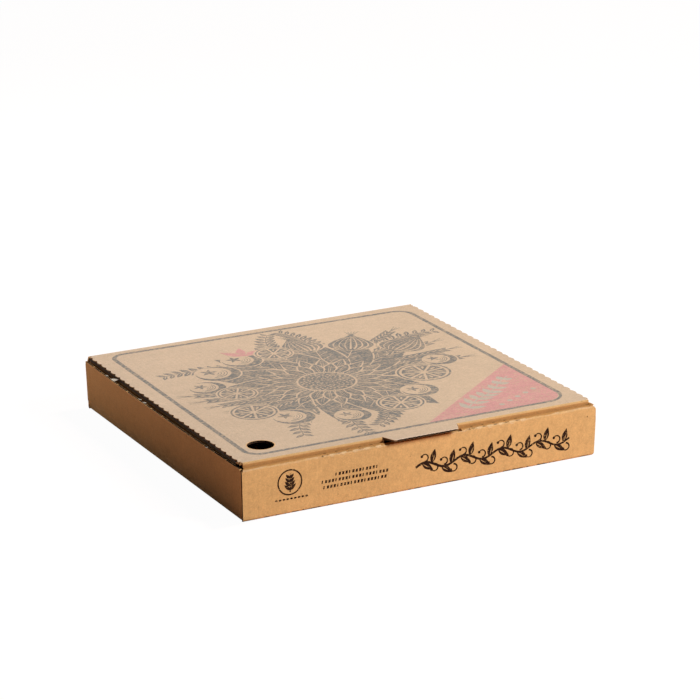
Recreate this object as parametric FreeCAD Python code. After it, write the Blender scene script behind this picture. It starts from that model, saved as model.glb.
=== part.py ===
import FreeCAD, Part
import math
import os

# A shallow square box folded from one sheet of corrugated board, standing closed on a table.
# Millimetres. The origin is under the middle of the tray, +Y runs back to the lid's hinge, +Z up.
# The sheet is two pieces here because it bends there in use: the tray, and the lid.

# Board
BOARD = 1.8                 # thickness of the sheet
FOLD_RADIUS = 2.3           # outside radius of a creased fold
ROLL_RADIUS = 2.0           # outside radius of the two tighter creases of the rolled front wall
LID_FRONT_RADIUS = 2.1      # outside radius of the lid's front fold
PLY_GAP = 0.15              # air between plies folded against each other, and round a lock tab
RUN_GAP = 0.3               # air between the lid and the tray where one moves past the other

# Tray
TRAY_WIDTH = 330.0          # outside, left to right
TRAY_DEPTH = 330.0          # outside, front to back
FRONT_HEIGHT = 44.5         # table to the top of the rolled front wall
SIDE_SHY = 0.5              # how much lower the raw top edges of the side walls are
LEFT_BOW = 3.2              # how far the left wall's top edge bulges out at its middle
LEFT_FLARE = 2.6            # how far it stands out at its back end, where the corner has slackened
LEFT_RISE = 1.4             # how much higher its back end is
RIGHT_BOW = 1.5             # bulge of the right wall's top edge
KNEE_HEIGHT = 9.0           # height at which a slack corner has come most of its way out
KNEE_SHARE = 0.7
CORNER_FLAP = 72.0          # length of the four flaps that the side walls fold into
CORNER_FLAP_CUT = 6.0       # slant cut off each corner flap's lower free corner
LEFT_TOP_ROUND = 1.5        # radius of the front wall's top left corner
RIGHT_TOP_ROUND = 4.0       # the same on the right, which is worn rounder
RIGHT_FOOT_IN = 3.2         # how far the front wall's bottom right corner is worn in, at the table
RIGHT_FOOT_WEAR = 2.2       # height of that worn corner
RIGHT_LEAN = 1.5            # how far the front wall's right edge comes in above it
RIGHT_LEAN_HEIGHT = 32.0    # height from which that edge is upright
ROLL_SHY_FRONT = 0.8        # how far the roll's slanted ends stop short of the wall's ends, in front
ROLL_SHY_REAR = 4.5         # the same at the roll's rear, which clears the side walls
BACK_CORNER_DROP = 7.0      # height of the slant cut at the back wall's two top corners

# Locks: tabs on the rolled wall's inner ply, pushed down into slots in the base
LOCK_TAB_WIDTH = 50.0
LOCK_TAB_PLACE = 90.0       # middle of a tab, from the middle of the box
LOCK_TAB_SHORT = 0.4        # height at which a tab ends, above the table

# Finger notch in the rolled wall, under the thumb tab
NOTCH_WIDTH = 72.0
NOTCH_DROP = 1.2            # depth in the two plies; the band between them is cut right out

# Cut creases: rows of short cuts that let the board fold sharply
CUT_PITCH = 10.6
ROLL_CUT_LENGTH = 4.6
ROLL_CUT_DEPTH = 1.3        # of the roll's cuts, from each of the fold's two faces
LID_CUT_LENGTH = 3.0        # at its inner end
LID_CUT_FLARE = 2.4         # how much longer the lid's cuts are at its edge, at each end
LID_CUT_REACH = 2.8         # of the lid's cuts, from the side flap's face into the panel
LID_CUT_DROP = 1.5          # and from the lid's upper face down
ROLL_CUTS_START = 39.0      # first cut of the roll's creases, from the middle of the box
ROLL_CUTS_END = 97.0

# Lid
LID_LIFT = 1.9              # air between the rolled wall's top and the lid's panel
TUCK_FOLD_WIDTH = 322.0     # front flap at its fold
TUCK_FLAP_WIDTH = 300.0     # and lower down, tucked behind the rolled wall
TUCK_FLAP_TAPER = 12.0      # height over which it narrows
TUCK_FLAP_DROP = 38.0       # lid's upper face to the front flap's free edge
TUCK_FLAP_LEAN = 3.0        # how far that edge leans back, which lets it swing past the wall
TUCK_FLAP_CUT = 9.0         # slant cut off the front flap's free corners
SIDE_FLAP_DROP = 34.0       # lid's upper face to the side flaps' free edges
SIDE_FLAP_SLANT = 26.0      # how much shorter a side flap is at its free edge, at each end
SIDE_FLAP_FRONT = 9.0       # front flap's outer face to the start of a side flap
THUMB_TAB_WIDTH = 70.0      # at its root
THUMB_TAB_SLANT = 5.0       # how much narrower it is at its tip, on each side
THUMB_TAB_OVERHANG = 4.5    # how far it stands out in front of the tray
THUMB_TAB_CORNER = 2.0      # radius of its two tip corners

# Round vent hole near the lid's front left corner
VENT_RADIUS = 11.3
VENT_FROM_LEFT = 34.8       # tray's left face to the vent's middle
VENT_FROM_FRONT = 38.6      # tray's front face to the vent's middle

# Two points closer than this are one
SAME_POINT = 1e-6

# Places that follow from the sizes above
SIDE_HEIGHT = FRONT_HEIGHT - SIDE_SHY
LID_TOP = FRONT_HEIGHT + LID_LIFT + BOARD
HALF_WIDTH = TRAY_WIDTH / 2
HALF_DEPTH = TRAY_DEPTH / 2
FRONT = -HALF_DEPTH
BACK = HALF_DEPTH
ROLL_DEPTH = 3 * BOARD + 2 * PLY_GAP
ROLL_REAR = FRONT + ROLL_DEPTH
HINGE_Y = BACK - BOARD / 2
HINGE_Z = LID_TOP - BOARD / 2
LID_FRONT = ROLL_REAR + RUN_GAP
LID_PANEL_FRONT = LID_FRONT + LID_FRONT_RADIUS
LID_REAR = BACK - BOARD - RUN_GAP
THUMB_TAB_TIP = FRONT - THUMB_TAB_OVERHANG
LID_HALF = HALF_WIDTH - BOARD - RUN_GAP


def rounded_face(corners, place):
    """Flat face with round corners: each corner is (u, v, radius), and place puts (u, v) in space."""
    edges = []
    loose_end = None
    first_start = None
    for index, (u, v, radius) in enumerate(corners):
        corner = FreeCAD.Vector(u, v, 0)
        before = FreeCAD.Vector(*corners[index - 1][:2], 0)
        after = FreeCAD.Vector(*corners[(index + 1) % len(corners)][:2], 0)
        to_before = (before - corner).normalize()
        to_after = (after - corner).normalize()
        half_angle = to_before.getAngle(to_after) / 2
        start = corner + to_before * (radius / math.tan(half_angle))
        end = corner + to_after * (radius / math.tan(half_angle))
        if loose_end is None:
            first_start = start
        else:
            edges += straight(loose_end, start, place)
        if radius > 0:
            inward = (to_before + to_after).normalize()
            middle = corner + inward * (radius / math.sin(half_angle) - radius)
            arc = Part.Arc(place(start.x, start.y), place(middle.x, middle.y), place(end.x, end.y))
            edges.append(arc.toShape())
        loose_end = end
    edges += straight(loose_end, first_start, place)
    return Part.Face(Part.Wire(edges))


def straight(start, end, place):
    """One straight edge, or none where two arcs meet."""
    if start.distanceToPoint(end) < SAME_POINT:
        return []
    return [Part.makeLine(place(start.x, start.y), place(end.x, end.y))]


def along_x(corners, low, high):
    """A section in Y and Z, run from low to high along X."""
    face = rounded_face(corners, lambda y, z: FreeCAD.Vector(low, y, z))
    return face.extrude(FreeCAD.Vector(high - low, 0, 0))


def along_y(corners, low, high):
    """A section in X and Z, run from low to high along Y."""
    face = rounded_face(corners, lambda x, z: FreeCAD.Vector(x, low, z))
    return face.extrude(FreeCAD.Vector(0, high - low, 0))


def along_z(corners, low, high):
    """An outline in X and Y, run from low to high along Z."""
    face = rounded_face(corners, lambda x, y: FreeCAD.Vector(x, y, low))
    return face.extrude(FreeCAD.Vector(0, 0, high - low))


def block(x, y, z):
    """A plain block, from its (low, high) along each axis."""
    corner = FreeCAD.Vector(x[0], y[0], z[0])
    return Part.makeBox(x[1] - x[0], y[1] - y[0], z[1] - z[0], corner)


def other_side(shape):
    """The same shape on the other side of the box's middle plane."""
    return shape.mirror(FreeCAD.Vector(0, 0, 0), FreeCAD.Vector(1, 0, 0))


def cut_middles(low, high, length):
    """Middles of the evenly spaced cuts that fit between two places along a crease."""
    count = int((high - low - length) // CUT_PITCH) + 1
    first = (low + high - (count - 1) * CUT_PITCH) / 2
    return [first + index * CUT_PITCH for index in range(count)]


def base():
    """Bottom panel, up to the folds, with the two slots for the lock tabs."""
    edge_x = HALF_WIDTH - FOLD_RADIUS
    edge_y = HALF_DEPTH - FOLD_RADIUS
    panel = block((-edge_x, edge_x), (-edge_y, edge_y), (0, BOARD))
    reach = LOCK_TAB_WIDTH / 2 + PLY_GAP
    slot = block(
        (LOCK_TAB_PLACE - reach, LOCK_TAB_PLACE + reach),
        (ROLL_REAR - BOARD - PLY_GAP, ROLL_REAR + PLY_GAP),
        (0, BOARD),
    )
    return panel.cut([slot, other_side(slot)])


def front_panel():
    """Outer front panel, folded up from the base."""
    spring = FRONT_HEIGHT - ROLL_RADIUS
    section = [
        (FRONT + FOLD_RADIUS, 0, 0),
        (FRONT, 0, FOLD_RADIUS),
        (FRONT, spring, 0),
        (FRONT + BOARD, spring, 0),
        (FRONT + BOARD, BOARD, FOLD_RADIUS - BOARD),
        (FRONT + FOLD_RADIUS, BOARD, 0),
    ]
    return along_x(section, -HALF_WIDTH, HALF_WIDTH)


def front_roll():
    """Narrow top band and inner ply of the rolled front wall, with the lock tabs."""
    spring = FRONT_HEIGHT - ROLL_RADIUS
    inner_radius = ROLL_RADIUS - BOARD
    foot = BOARD + PLY_GAP
    section = [
        (FRONT, spring, 0),
        (FRONT, FRONT_HEIGHT, ROLL_RADIUS),
        (ROLL_REAR, FRONT_HEIGHT, ROLL_RADIUS),
        (ROLL_REAR, foot, 0),
        (ROLL_REAR - BOARD, foot, 0),
        (ROLL_REAR - BOARD, FRONT_HEIGHT - BOARD, inner_radius),
        (FRONT + BOARD, FRONT_HEIGHT - BOARD, inner_radius),
        (FRONT + BOARD, spring, 0),
    ]
    roll = along_x(section, -HALF_WIDTH, HALF_WIDTH)
    front_half = HALF_WIDTH - ROLL_SHY_FRONT
    rear_half = HALF_WIDTH - ROLL_SHY_REAR
    slanted_ends = [
        (-front_half, FRONT, 0),
        (front_half, FRONT, 0),
        (rear_half, ROLL_REAR, 0),
        (-rear_half, ROLL_REAR, 0),
    ]
    roll = roll.common(along_z(slanted_ends, 0, FRONT_HEIGHT))
    tab = block(
        (LOCK_TAB_PLACE - LOCK_TAB_WIDTH / 2, LOCK_TAB_PLACE + LOCK_TAB_WIDTH / 2),
        (ROLL_REAR - BOARD, ROLL_REAR),
        (LOCK_TAB_SHORT, foot),
    )
    return roll.fuse([tab, other_side(tab)])


def roll_cuts():
    """Short cuts along the roll's two creases, on the right-hand half."""
    height = (FRONT_HEIGHT - ROLL_CUT_DEPTH, FRONT_HEIGHT)
    cuts = []
    for middle in cut_middles(ROLL_CUTS_START, ROLL_CUTS_END, ROLL_CUT_LENGTH):
        length = (middle - ROLL_CUT_LENGTH / 2, middle + ROLL_CUT_LENGTH / 2)
        cuts.append(block(length, (FRONT, FRONT + ROLL_CUT_DEPTH), height))
        cuts.append(block(length, (ROLL_REAR - ROLL_CUT_DEPTH, ROLL_REAR), height))
    return cuts


def finger_notch():
    """What is cut out of the rolled wall under the thumb tab: the band, and a little of each ply."""
    width = (-NOTCH_WIDTH / 2, NOTCH_WIDTH / 2)
    plies = block(width, (FRONT, ROLL_REAR), (FRONT_HEIGHT - NOTCH_DROP, FRONT_HEIGHT))
    between = (FRONT + BOARD, ROLL_REAR - BOARD)
    band = block(width, between, (FRONT_HEIGHT - ROLL_RADIUS, FRONT_HEIGHT))
    return plies.fuse(band)


def front_wall():
    """Rolled front wall with its cuts and notch; its right-hand corners are worn."""
    outline = [
        (-HALF_WIDTH, 0, 0),
        (HALF_WIDTH - RIGHT_FOOT_IN, 0, 0),
        (HALF_WIDTH - RIGHT_LEAN, RIGHT_FOOT_WEAR, 0),
        (HALF_WIDTH, RIGHT_LEAN_HEIGHT, 0),
        (HALF_WIDTH, FRONT_HEIGHT, RIGHT_TOP_ROUND),
        (-HALF_WIDTH, FRONT_HEIGHT, LEFT_TOP_ROUND),
    ]
    right_cuts = roll_cuts()
    left_cuts = [other_side(cut) for cut in right_cuts]
    wall = front_panel().fuse(front_roll())
    wall = wall.cut([finger_notch()] + right_cuts + left_cuts)
    return wall.common(along_y(outline, FRONT, ROLL_REAR))


def slack(height, most):
    """How far out a slack corner stands at a height: most of the way at the knee, all of it at the top."""
    if height <= KNEE_HEIGHT:
        return most * KNEE_SHARE * (height - FOLD_RADIUS) / (KNEE_HEIGHT - FOLD_RADIUS)
    above = (height - KNEE_HEIGHT) / (SIDE_HEIGHT - KNEE_HEIGHT)
    return most * (KNEE_SHARE + (1 - KNEE_SHARE) * above)


def corner_flap(wall_y, flap_y, top, flare):
    """Flap folded round from the right wall's end, in the plane of the front or back wall."""
    inward = 1 if wall_y > flap_y else -1
    free_x = HALF_WIDTH - CORNER_FLAP
    foot = FOLD_RADIUS + PLY_GAP

    def bend(height):
        outer_x = HALF_WIDTH + slack(height, flare)
        corners = [
            (outer_x, wall_y, 0),
            (outer_x, flap_y, FOLD_RADIUS),
            (free_x, flap_y, 0),
            (free_x, flap_y + inward * BOARD, 0),
            (outer_x - BOARD, flap_y + inward * BOARD, FOLD_RADIUS - BOARD),
            (outer_x - BOARD, wall_y, 0),
        ]
        return rounded_face(corners, lambda x, y: FreeCAD.Vector(x, y, height))

    heights = (foot, KNEE_HEIGHT, top) if flare else (foot, top)
    flap = Part.makeLoft([bend(height).OuterWire for height in heights], True, True)
    outline = [
        (HALF_WIDTH + flare, foot, 0),
        (HALF_WIDTH + flare, top, 0),
        (free_x, top, 0),
        (free_x, foot + CORNER_FLAP_CUT, 0),
        (free_x + CORNER_FLAP_CUT, foot, 0),
    ]
    reach = sorted((wall_y, flap_y))
    return flap.common(along_y(outline, reach[0], reach[1]))


def side_wall(bow, flare, rise):
    """Right side wall with its bottom fold and corner flaps. Its top edge bulges out by bow, and
    its back end stands out by flare and up by rise."""
    edge = HALF_WIDTH - FOLD_RADIUS
    fold_section = [
        (edge, 0, 0),
        (HALF_WIDTH, 0, FOLD_RADIUS),
        (HALF_WIDTH, FOLD_RADIUS, 0),
        (HALF_WIDTH - BOARD, FOLD_RADIUS, 0),
        (HALF_WIDTH - BOARD, BOARD, FOLD_RADIUS - BOARD),
        (edge, BOARD, 0),
    ]
    fold_half = HALF_DEPTH - FOLD_RADIUS - PLY_GAP
    fold = along_y(fold_section, -fold_half, fold_half)

    front_flap = FRONT + BOARD + PLY_GAP
    back_flap = BACK - BOARD - PLY_GAP
    ends = (front_flap + FOLD_RADIUS, back_flap - FOLD_RADIUS)
    sections = [bowed_outline(ends, 0, 0, FOLD_RADIUS, 0)]
    if flare:
        knee_bow = bow * (KNEE_HEIGHT - FOLD_RADIUS) / (SIDE_HEIGHT - FOLD_RADIUS)
        sections.append(bowed_outline(ends, knee_bow, slack(KNEE_HEIGHT, flare), KNEE_HEIGHT, 0))
    sections.append(bowed_outline(ends, bow, flare, SIDE_HEIGHT, rise))
    wall = Part.makeLoft(sections, True, True)

    flap_top = FRONT_HEIGHT - BOARD - PLY_GAP
    front = corner_flap(ends[0], front_flap, flap_top, 0)
    back = corner_flap(ends[1], back_flap, flap_top, flare)
    return fold.fuse([wall, front, back])


def bowed_outline(ends, bow, flare, height, rise):
    """Outline of a side wall's cut through at one height: it bulges out by bow at its middle, and
    its back end stands out by flare and up by rise."""
    front_end, back_end = ends
    middle = (front_end + back_end) / 2
    faces = []
    for face in (HALF_WIDTH, HALF_WIDTH - BOARD):
        faces.append((
            FreeCAD.Vector(face, front_end, height),
            FreeCAD.Vector(face + max(bow, flare / 2), middle, height + rise / 2),
            FreeCAD.Vector(face + flare, back_end, height + rise),
        ))
    outer, inner = faces
    return Part.Wire([
        bowed_edge(*outer),
        Part.makeLine(outer[2], inner[2]),
        bowed_edge(*reversed(inner)),
        Part.makeLine(inner[0], outer[0]),
    ])


def bowed_edge(start, middle, end):
    """An arc through three points, or a straight edge where they are in line."""
    if middle.distanceToLine(start, end - start) < SAME_POINT:
        return Part.makeLine(start, end)
    return Part.Arc(start, middle, end).toShape()


def back_wall():
    """Back wall, folded up from the base, with the half-round of the lid's fold on its top."""
    bead_top = HINGE_Z + BOARD / 2
    section = [
        (BACK - FOLD_RADIUS, 0, 0),
        (BACK, 0, FOLD_RADIUS),
        (BACK, bead_top, BOARD / 2),
        (BACK - BOARD, bead_top, BOARD / 2),
        (BACK - BOARD, BOARD, FOLD_RADIUS - BOARD),
        (BACK - FOLD_RADIUS, BOARD, 0),
    ]
    wall = along_x(section, -HALF_WIDTH, HALF_WIDTH)
    shoulder = bead_top - BACK_CORNER_DROP
    outline = [
        (-HALF_WIDTH, 0, 0),
        (HALF_WIDTH, 0, 0),
        (HALF_WIDTH, shoulder, 0),
        (LID_HALF, bead_top, 0),
        (-LID_HALF, bead_top, 0),
        (-HALF_WIDTH, shoulder, 0),
    ]
    return wall.common(along_y(outline, BACK - FOLD_RADIUS, BACK))


def tray():
    """Base, four walls, rolled front and corner flaps, all one folded sheet."""
    right = side_wall(RIGHT_BOW, 0, 0)
    left = other_side(side_wall(LEFT_BOW, LEFT_FLARE, LEFT_RISE))
    return base().fuse([front_wall(), right, left, back_wall()]).removeSplitter()


def lid_panel():
    """Top panel between its two side folds, with the front fold and the tucked front flap."""
    free_z = LID_TOP - TUCK_FLAP_DROP
    free_y = LID_FRONT + TUCK_FLAP_LEAN
    section = [
        (LID_REAR, LID_TOP, 0),
        (LID_FRONT, LID_TOP, LID_FRONT_RADIUS),
        (free_y, free_z, 0),
        (free_y + BOARD, free_z, 0),
        (LID_FRONT + BOARD, LID_TOP - BOARD, LID_FRONT_RADIUS - BOARD),
        (LID_REAR, LID_TOP - BOARD, 0),
    ]
    fold_half = TUCK_FOLD_WIDTH / 2
    half = TUCK_FLAP_WIDTH / 2
    fold_foot = LID_TOP - LID_FRONT_RADIUS - BOARD
    sheet = along_x(section, -fold_half, fold_half)
    right = [
        (fold_half, LID_TOP, 0),
        (fold_half, fold_foot, 0),
        (half, fold_foot - TUCK_FLAP_TAPER, 0),
        (half, free_z + TUCK_FLAP_CUT, 0),
        (half - TUCK_FLAP_CUT, free_z, 0),
    ]
    outline = right + [(-x, z, radius) for x, z, radius in reversed(right)]
    sheet = sheet.common(along_y(outline, LID_FRONT, LID_REAR))
    edge = LID_HALF - FOLD_RADIUS
    top = block((-edge, edge), (LID_PANEL_FRONT, LID_REAR), (LID_TOP - BOARD, LID_TOP))
    return sheet.fuse(top)


def side_flap():
    """Right side fold of the lid and its flap, which hangs inside the tray's wall."""
    free_z = LID_TOP - SIDE_FLAP_DROP
    section = [
        (LID_HALF - FOLD_RADIUS, LID_TOP, 0),
        (LID_HALF, LID_TOP, FOLD_RADIUS),
        (LID_HALF, free_z, 0),
        (LID_HALF - BOARD, free_z, 0),
        (LID_HALF - BOARD, LID_TOP - BOARD, FOLD_RADIUS - BOARD),
        (LID_HALF - FOLD_RADIUS, LID_TOP - BOARD, 0),
    ]
    flap_front = LID_FRONT + SIDE_FLAP_FRONT
    spring = LID_TOP - FOLD_RADIUS
    outline = [
        (LID_PANEL_FRONT, LID_TOP, 0),
        (LID_REAR, LID_TOP, 0),
        (LID_REAR, spring, 0),
        (LID_REAR - SIDE_FLAP_SLANT, free_z, 0),
        (flap_front + SIDE_FLAP_SLANT, free_z, 0),
        (flap_front, spring, 0),
        (LID_PANEL_FRONT, spring, 0),
    ]
    flap = along_y(section, LID_PANEL_FRONT, LID_REAR)
    return flap.common(along_x(outline, LID_HALF - FOLD_RADIUS, LID_HALF))


def side_cuts():
    """Short flared cuts along the right side fold of the lid, which make its edge scalloped."""
    cuts = []
    half = LID_CUT_LENGTH / 2
    for middle in cut_middles(LID_PANEL_FRONT + FOLD_RADIUS, LID_REAR - FOLD_RADIUS, LID_CUT_LENGTH):
        outline = [
            (LID_HALF, middle - half - LID_CUT_FLARE, 0),
            (LID_HALF, middle + half + LID_CUT_FLARE, 0),
            (LID_HALF - LID_CUT_REACH, middle + half, 0),
            (LID_HALF - LID_CUT_REACH, middle - half, 0),
        ]
        cuts.append(along_z(outline, LID_TOP - LID_CUT_DROP, LID_TOP))
    return cuts


def thumb_tab():
    """Tapered tab in the plane of the lid's panel, reaching out over the front wall."""
    root_half = THUMB_TAB_WIDTH / 2
    tip_half = root_half - THUMB_TAB_SLANT
    seat_y = LID_FRONT + TUCK_FLAP_LEAN + BOARD
    outline = [
        (-root_half, seat_y, 0),
        (root_half, seat_y, 0),
        (root_half, LID_PANEL_FRONT, 0),
        (tip_half, THUMB_TAB_TIP, THUMB_TAB_CORNER),
        (-tip_half, THUMB_TAB_TIP, THUMB_TAB_CORNER),
        (-root_half, LID_PANEL_FRONT, 0),
    ]
    return along_z(outline, LID_TOP - BOARD, LID_TOP)


def thumb_tab_window():
    """Where the thumb tab was cut out of the front fold and flap: its own outline, folded down."""
    root_half = THUMB_TAB_WIDTH / 2
    tip_half = root_half - THUMB_TAB_SLANT
    tip_z = LID_TOP - (LID_PANEL_FRONT - THUMB_TAB_TIP)
    outline = [
        (root_half, LID_TOP, 0),
        (tip_half, tip_z, THUMB_TAB_CORNER),
        (-tip_half, tip_z, THUMB_TAB_CORNER),
        (-root_half, LID_TOP, 0),
    ]
    return along_y(outline, LID_FRONT, LID_FRONT + TUCK_FLAP_LEAN + BOARD)


def vent():
    """The round vent, cut through the lid's panel."""
    foot = FreeCAD.Vector(VENT_FROM_LEFT - HALF_WIDTH, VENT_FROM_FRONT - HALF_DEPTH, LID_TOP - BOARD)
    return Part.makeCylinder(VENT_RADIUS, BOARD, foot)


def lid():
    """Top panel, side flaps, tucked front flap and thumb tab, all one folded sheet."""
    flap = side_flap()
    right_cuts = side_cuts()
    left_cuts = [other_side(cut) for cut in right_cuts]
    sheet = lid_panel().cut(thumb_tab_window())
    sheet = sheet.fuse([flap, other_side(flap), thumb_tab()])
    return sheet.cut([vent()] + right_cuts + left_cuts).removeSplitter()


os.makedirs("parts", exist_ok=True)
for name, shape in (("tray", tray()), ("lid", lid())):
    shape.exportStep("parts/" + name + ".step")
    print(name, shape.isValid(), len(shape.Solids), round(shape.Volume), shape.BoundBox)
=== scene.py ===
import math
import random

import bmesh
import bpy
from mathutils import Matrix, Vector
from mathutils.geometry import delaunay_2d_cdt


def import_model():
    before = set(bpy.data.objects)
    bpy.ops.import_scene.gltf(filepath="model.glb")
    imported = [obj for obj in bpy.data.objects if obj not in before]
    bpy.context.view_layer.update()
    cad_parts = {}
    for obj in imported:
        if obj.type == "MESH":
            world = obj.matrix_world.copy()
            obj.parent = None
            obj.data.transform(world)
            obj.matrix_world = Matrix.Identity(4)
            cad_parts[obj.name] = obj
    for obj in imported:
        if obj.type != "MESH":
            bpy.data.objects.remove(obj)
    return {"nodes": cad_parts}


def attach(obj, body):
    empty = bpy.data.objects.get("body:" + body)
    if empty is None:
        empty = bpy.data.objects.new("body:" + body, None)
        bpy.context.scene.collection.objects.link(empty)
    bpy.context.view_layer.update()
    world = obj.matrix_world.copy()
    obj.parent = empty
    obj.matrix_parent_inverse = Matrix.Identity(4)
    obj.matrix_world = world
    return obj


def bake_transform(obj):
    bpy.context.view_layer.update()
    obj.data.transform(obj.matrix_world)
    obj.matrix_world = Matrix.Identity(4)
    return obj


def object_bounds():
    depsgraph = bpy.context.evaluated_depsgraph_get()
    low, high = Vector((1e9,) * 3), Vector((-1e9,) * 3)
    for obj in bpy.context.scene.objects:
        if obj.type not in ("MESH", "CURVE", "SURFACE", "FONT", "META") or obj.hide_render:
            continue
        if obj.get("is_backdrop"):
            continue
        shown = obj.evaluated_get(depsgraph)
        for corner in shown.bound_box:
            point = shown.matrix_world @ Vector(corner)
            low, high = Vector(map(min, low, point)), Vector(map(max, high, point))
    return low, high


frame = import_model()
cad_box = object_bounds()

# Lengths are in millimetres, X to the right, Y to the back, Z up, and MM turns them into metres.
MM = 0.001

# The box, as in the CAD model
BOARD = 1.8
FLUTE = 4.2                 # distance between two flutes
FRONT = -165.0              # outer face of the front wall
BACK = 165.0
SIDE = 165.0                # outer faces of the side walls at their ends
FRONT_HEIGHT = 44.5
SIDE_HEIGHT = 44.0
WALL_END = 160.75           # the side walls' top edges run this far to the front and back
LEFT_TOP = (165.0, 168.2, 167.6)    # how far out the left top edge is: front, middle and back
RIGHT_TOP = (165.0, 166.5, 165.0)
LEFT_RISE = 1.4             # how much higher the left wall's back end stands
FOLD_RADIUS = 2.3           # bottom fold of the front wall
ROLL_RADIUS = 2.0           # creases of the rolled front wall
ROLL_REAR = -159.3
ROLL_COVERS = 16.0          # how much of the right wall's top edge the roll hides
LID_TOP = 48.2
LID_HALF = 162.9
LID_REAR = 162.9
SIDE_FLAP_FOOT = 14.2
SIDE_FLAP_HALF = 123.0
TUCK_FLAP_Y = -156.0        # front face of the tucked flap
TUCK_FLAP_FOOT = 10.2
TUCK_FLAP_HALF = 140.0
TAB_TIP = -169.5
TAB_HALF = 28.0             # half of the tab's straight tip
TAB_TIP_HALF = 30.0         # the same with its rounded corners
TAB_ROOT = -156.9
TAB_ROOT_HALF = 35.0
VENT_X = -130.2
VENT_Y = -126.4
VENT_RADIUS = 11.3
HINGE_Y = 164.1
HINGE_Z = 47.3

# Camera
FOCAL_LENGTH = 151.24
SENSOR = 36.0
CAMERA_YAW = -0.464255      # round the upright axis, in radians
CAMERA_PITCH = 0.306982
CAMERA_ROLL = -0.0163403
CAMERA_ASIDE = 13.1
CAMERA_ABOVE = 70.5
CAMERA_AWAY = 2571.0

# Colours, linear red, green and blue
KRAFT = (0.63, 0.372, 0.152)
# painted shade colour, for the rolled wall's top band and the lower part of the lid's front fold
SHADED_BAND_KRAFT = (0.50, 0.235, 0.075)
# painted sheen on the lid's printed face, also the painted highlight on the roll's crease
SHEEN_KRAFT = (0.63, 0.435, 0.29)
# pale torn liner, also used as the painted highlight along the tab's tip
TORN_AND_HIGHLIGHT = (0.88, 0.76, 0.62)
PULLED = (0.68, 0.45, 0.24)
GREY_INK = (0.205, 0.185, 0.165)
PINK_INK = (0.66, 0.31, 0.28)
PALE_INK = (0.52, 0.43, 0.35)
DARK_INK = (0.022, 0.008, 0.004)
# near-black painted shade in open flutes, cuts, cracks and gaps
HOLLOW_SHADE = (0.018, 0.008, 0.004)
# dark raw board edge, also used as painted shade on the lid's side flaps
RAW_AND_SHADE = (0.16, 0.075, 0.03)
CUT_FACE = (0.60, 0.28, 0.10)
# painted highlight colour, for the side walls' top edges and round the vent
HIGHLIGHT_ORANGE = (0.85, 0.46, 0.17)
FLOOR_TONE = (0.86, 0.52, 0.42)
# the floor's matt colour beside the left wall, painted dark as a shadow
FLOOR_SHADE_BESIDE = (0.12, 0.06, 0.045)

INK_THICKNESS = 0.03
SIDES = (-1, 1)


# Materials

class Graph:
    """The node tree of a material or world, with short calls for the kinds of node used here."""

    def __init__(self, owner):
        self.owner = owner
        self.owner.use_nodes = True
        self.tree = self.owner.node_tree
        self.tree.nodes.clear()

    def node(self, kind, inputs=(), **settings):
        made = self.tree.nodes.new("ShaderNode" + kind)
        for key, value in settings.items():
            setattr(made, key, value)
        for key, value in dict(inputs).items():
            if isinstance(value, bpy.types.NodeSocket):
                self.tree.links.new(value, made.inputs[key])
            else:
                made.inputs[key].default_value = value
        return made

    def math(self, operation, *values):
        return self.node("Math", enumerate(values), operation=operation).outputs[0]

    def place(self):
        """The point's place in the object's own frame, in millimetres."""
        point = self.node("TexCoord").outputs["Object"]
        return self.node("VectorMath", {0: point, "Scale": 1000.0}, operation="SCALE").outputs[0]

    def stretch(self, vector, factors):
        return self.node("VectorMath", {0: vector, 1: factors}, operation="MULTIPLY").outputs[0]

    def noise(self, vector, scale, detail=2.0):
        inputs = {"Vector": vector, "Scale": scale, "Detail": detail}
        return self.node("TexNoise", inputs).outputs[0]

    def ramp(self, value, start, end, low=0.0, high=1.0):
        inputs = {"Value": value, "From Min": start, "From Max": end, "To Min": low, "To Max": high}
        return self.node("MapRange", inputs).outputs[0]

    def mix(self, share, first, second):
        inputs = {0: share, 6: opaque(first), 7: opaque(second)}
        return self.node("Mix", inputs, data_type="RGBA").outputs[2]

    def within(self, value, low, high, soft):
        """1 where the value is between low and high, fading over soft."""
        above = self.ramp(value, low - soft, low, 0.0, 1.0)
        below = self.ramp(value, high, high + soft, 1.0, 0.0)
        return self.math("MULTIPLY", above, below)

    def all_of(self, *shares):
        total = shares[0]
        for share in shares[1:]:
            total = self.math("MULTIPLY", total, share)
        return total

    def shade(self, colour, factor):
        return self.node("VectorMath", {0: colour, "Scale": factor}, operation="SCALE").outputs[0]

    def finish(self, colour, roughness, height, depth, gloss=0.06):
        bump = self.node("Bump", {"Height": height, "Strength": 1.0, "Distance": depth * MM})
        inputs = {"Base Color": colour, "Roughness": roughness, "Normal": bump.outputs[0]}
        inputs["Specular IOR Level"] = gloss
        shader = self.node("BsdfPrincipled", inputs)
        self.node("OutputMaterial", {0: shader.outputs[0]})
        return self.owner

    def seen_directly(self):
        """1 for rays from the camera, from gloss and through glass, 0 for the rest."""
        path = self.node("LightPath")
        total = path.outputs["Is Camera Ray"]
        for name in ("Is Glossy Ray", "Is Transmission Ray"):
            total = self.math("MAXIMUM", total, path.outputs[name])
        return total


def opaque(colour):
    return (*colour, 1.0) if isinstance(colour, tuple) else colour


def paper_shade(graph, place):
    """How light or dark the kraft liner is: soft clouds, mottles, fine grain and short fibres."""
    parts = [
        (graph.noise(place, 0.012), 0.05),
        (graph.noise(place, 0.11, 3.0), 0.035),
        (graph.noise(place, 0.9, 3.0), 0.12),
        (graph.noise(graph.stretch(place, (0.22, 1.7, 0.22)), 1.0), 0.07),
    ]
    total = 1.0
    for value, amount in parts:
        total = graph.math("ADD", total, graph.ramp(value, 0.25, 0.75, -amount, amount))
    return total


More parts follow.
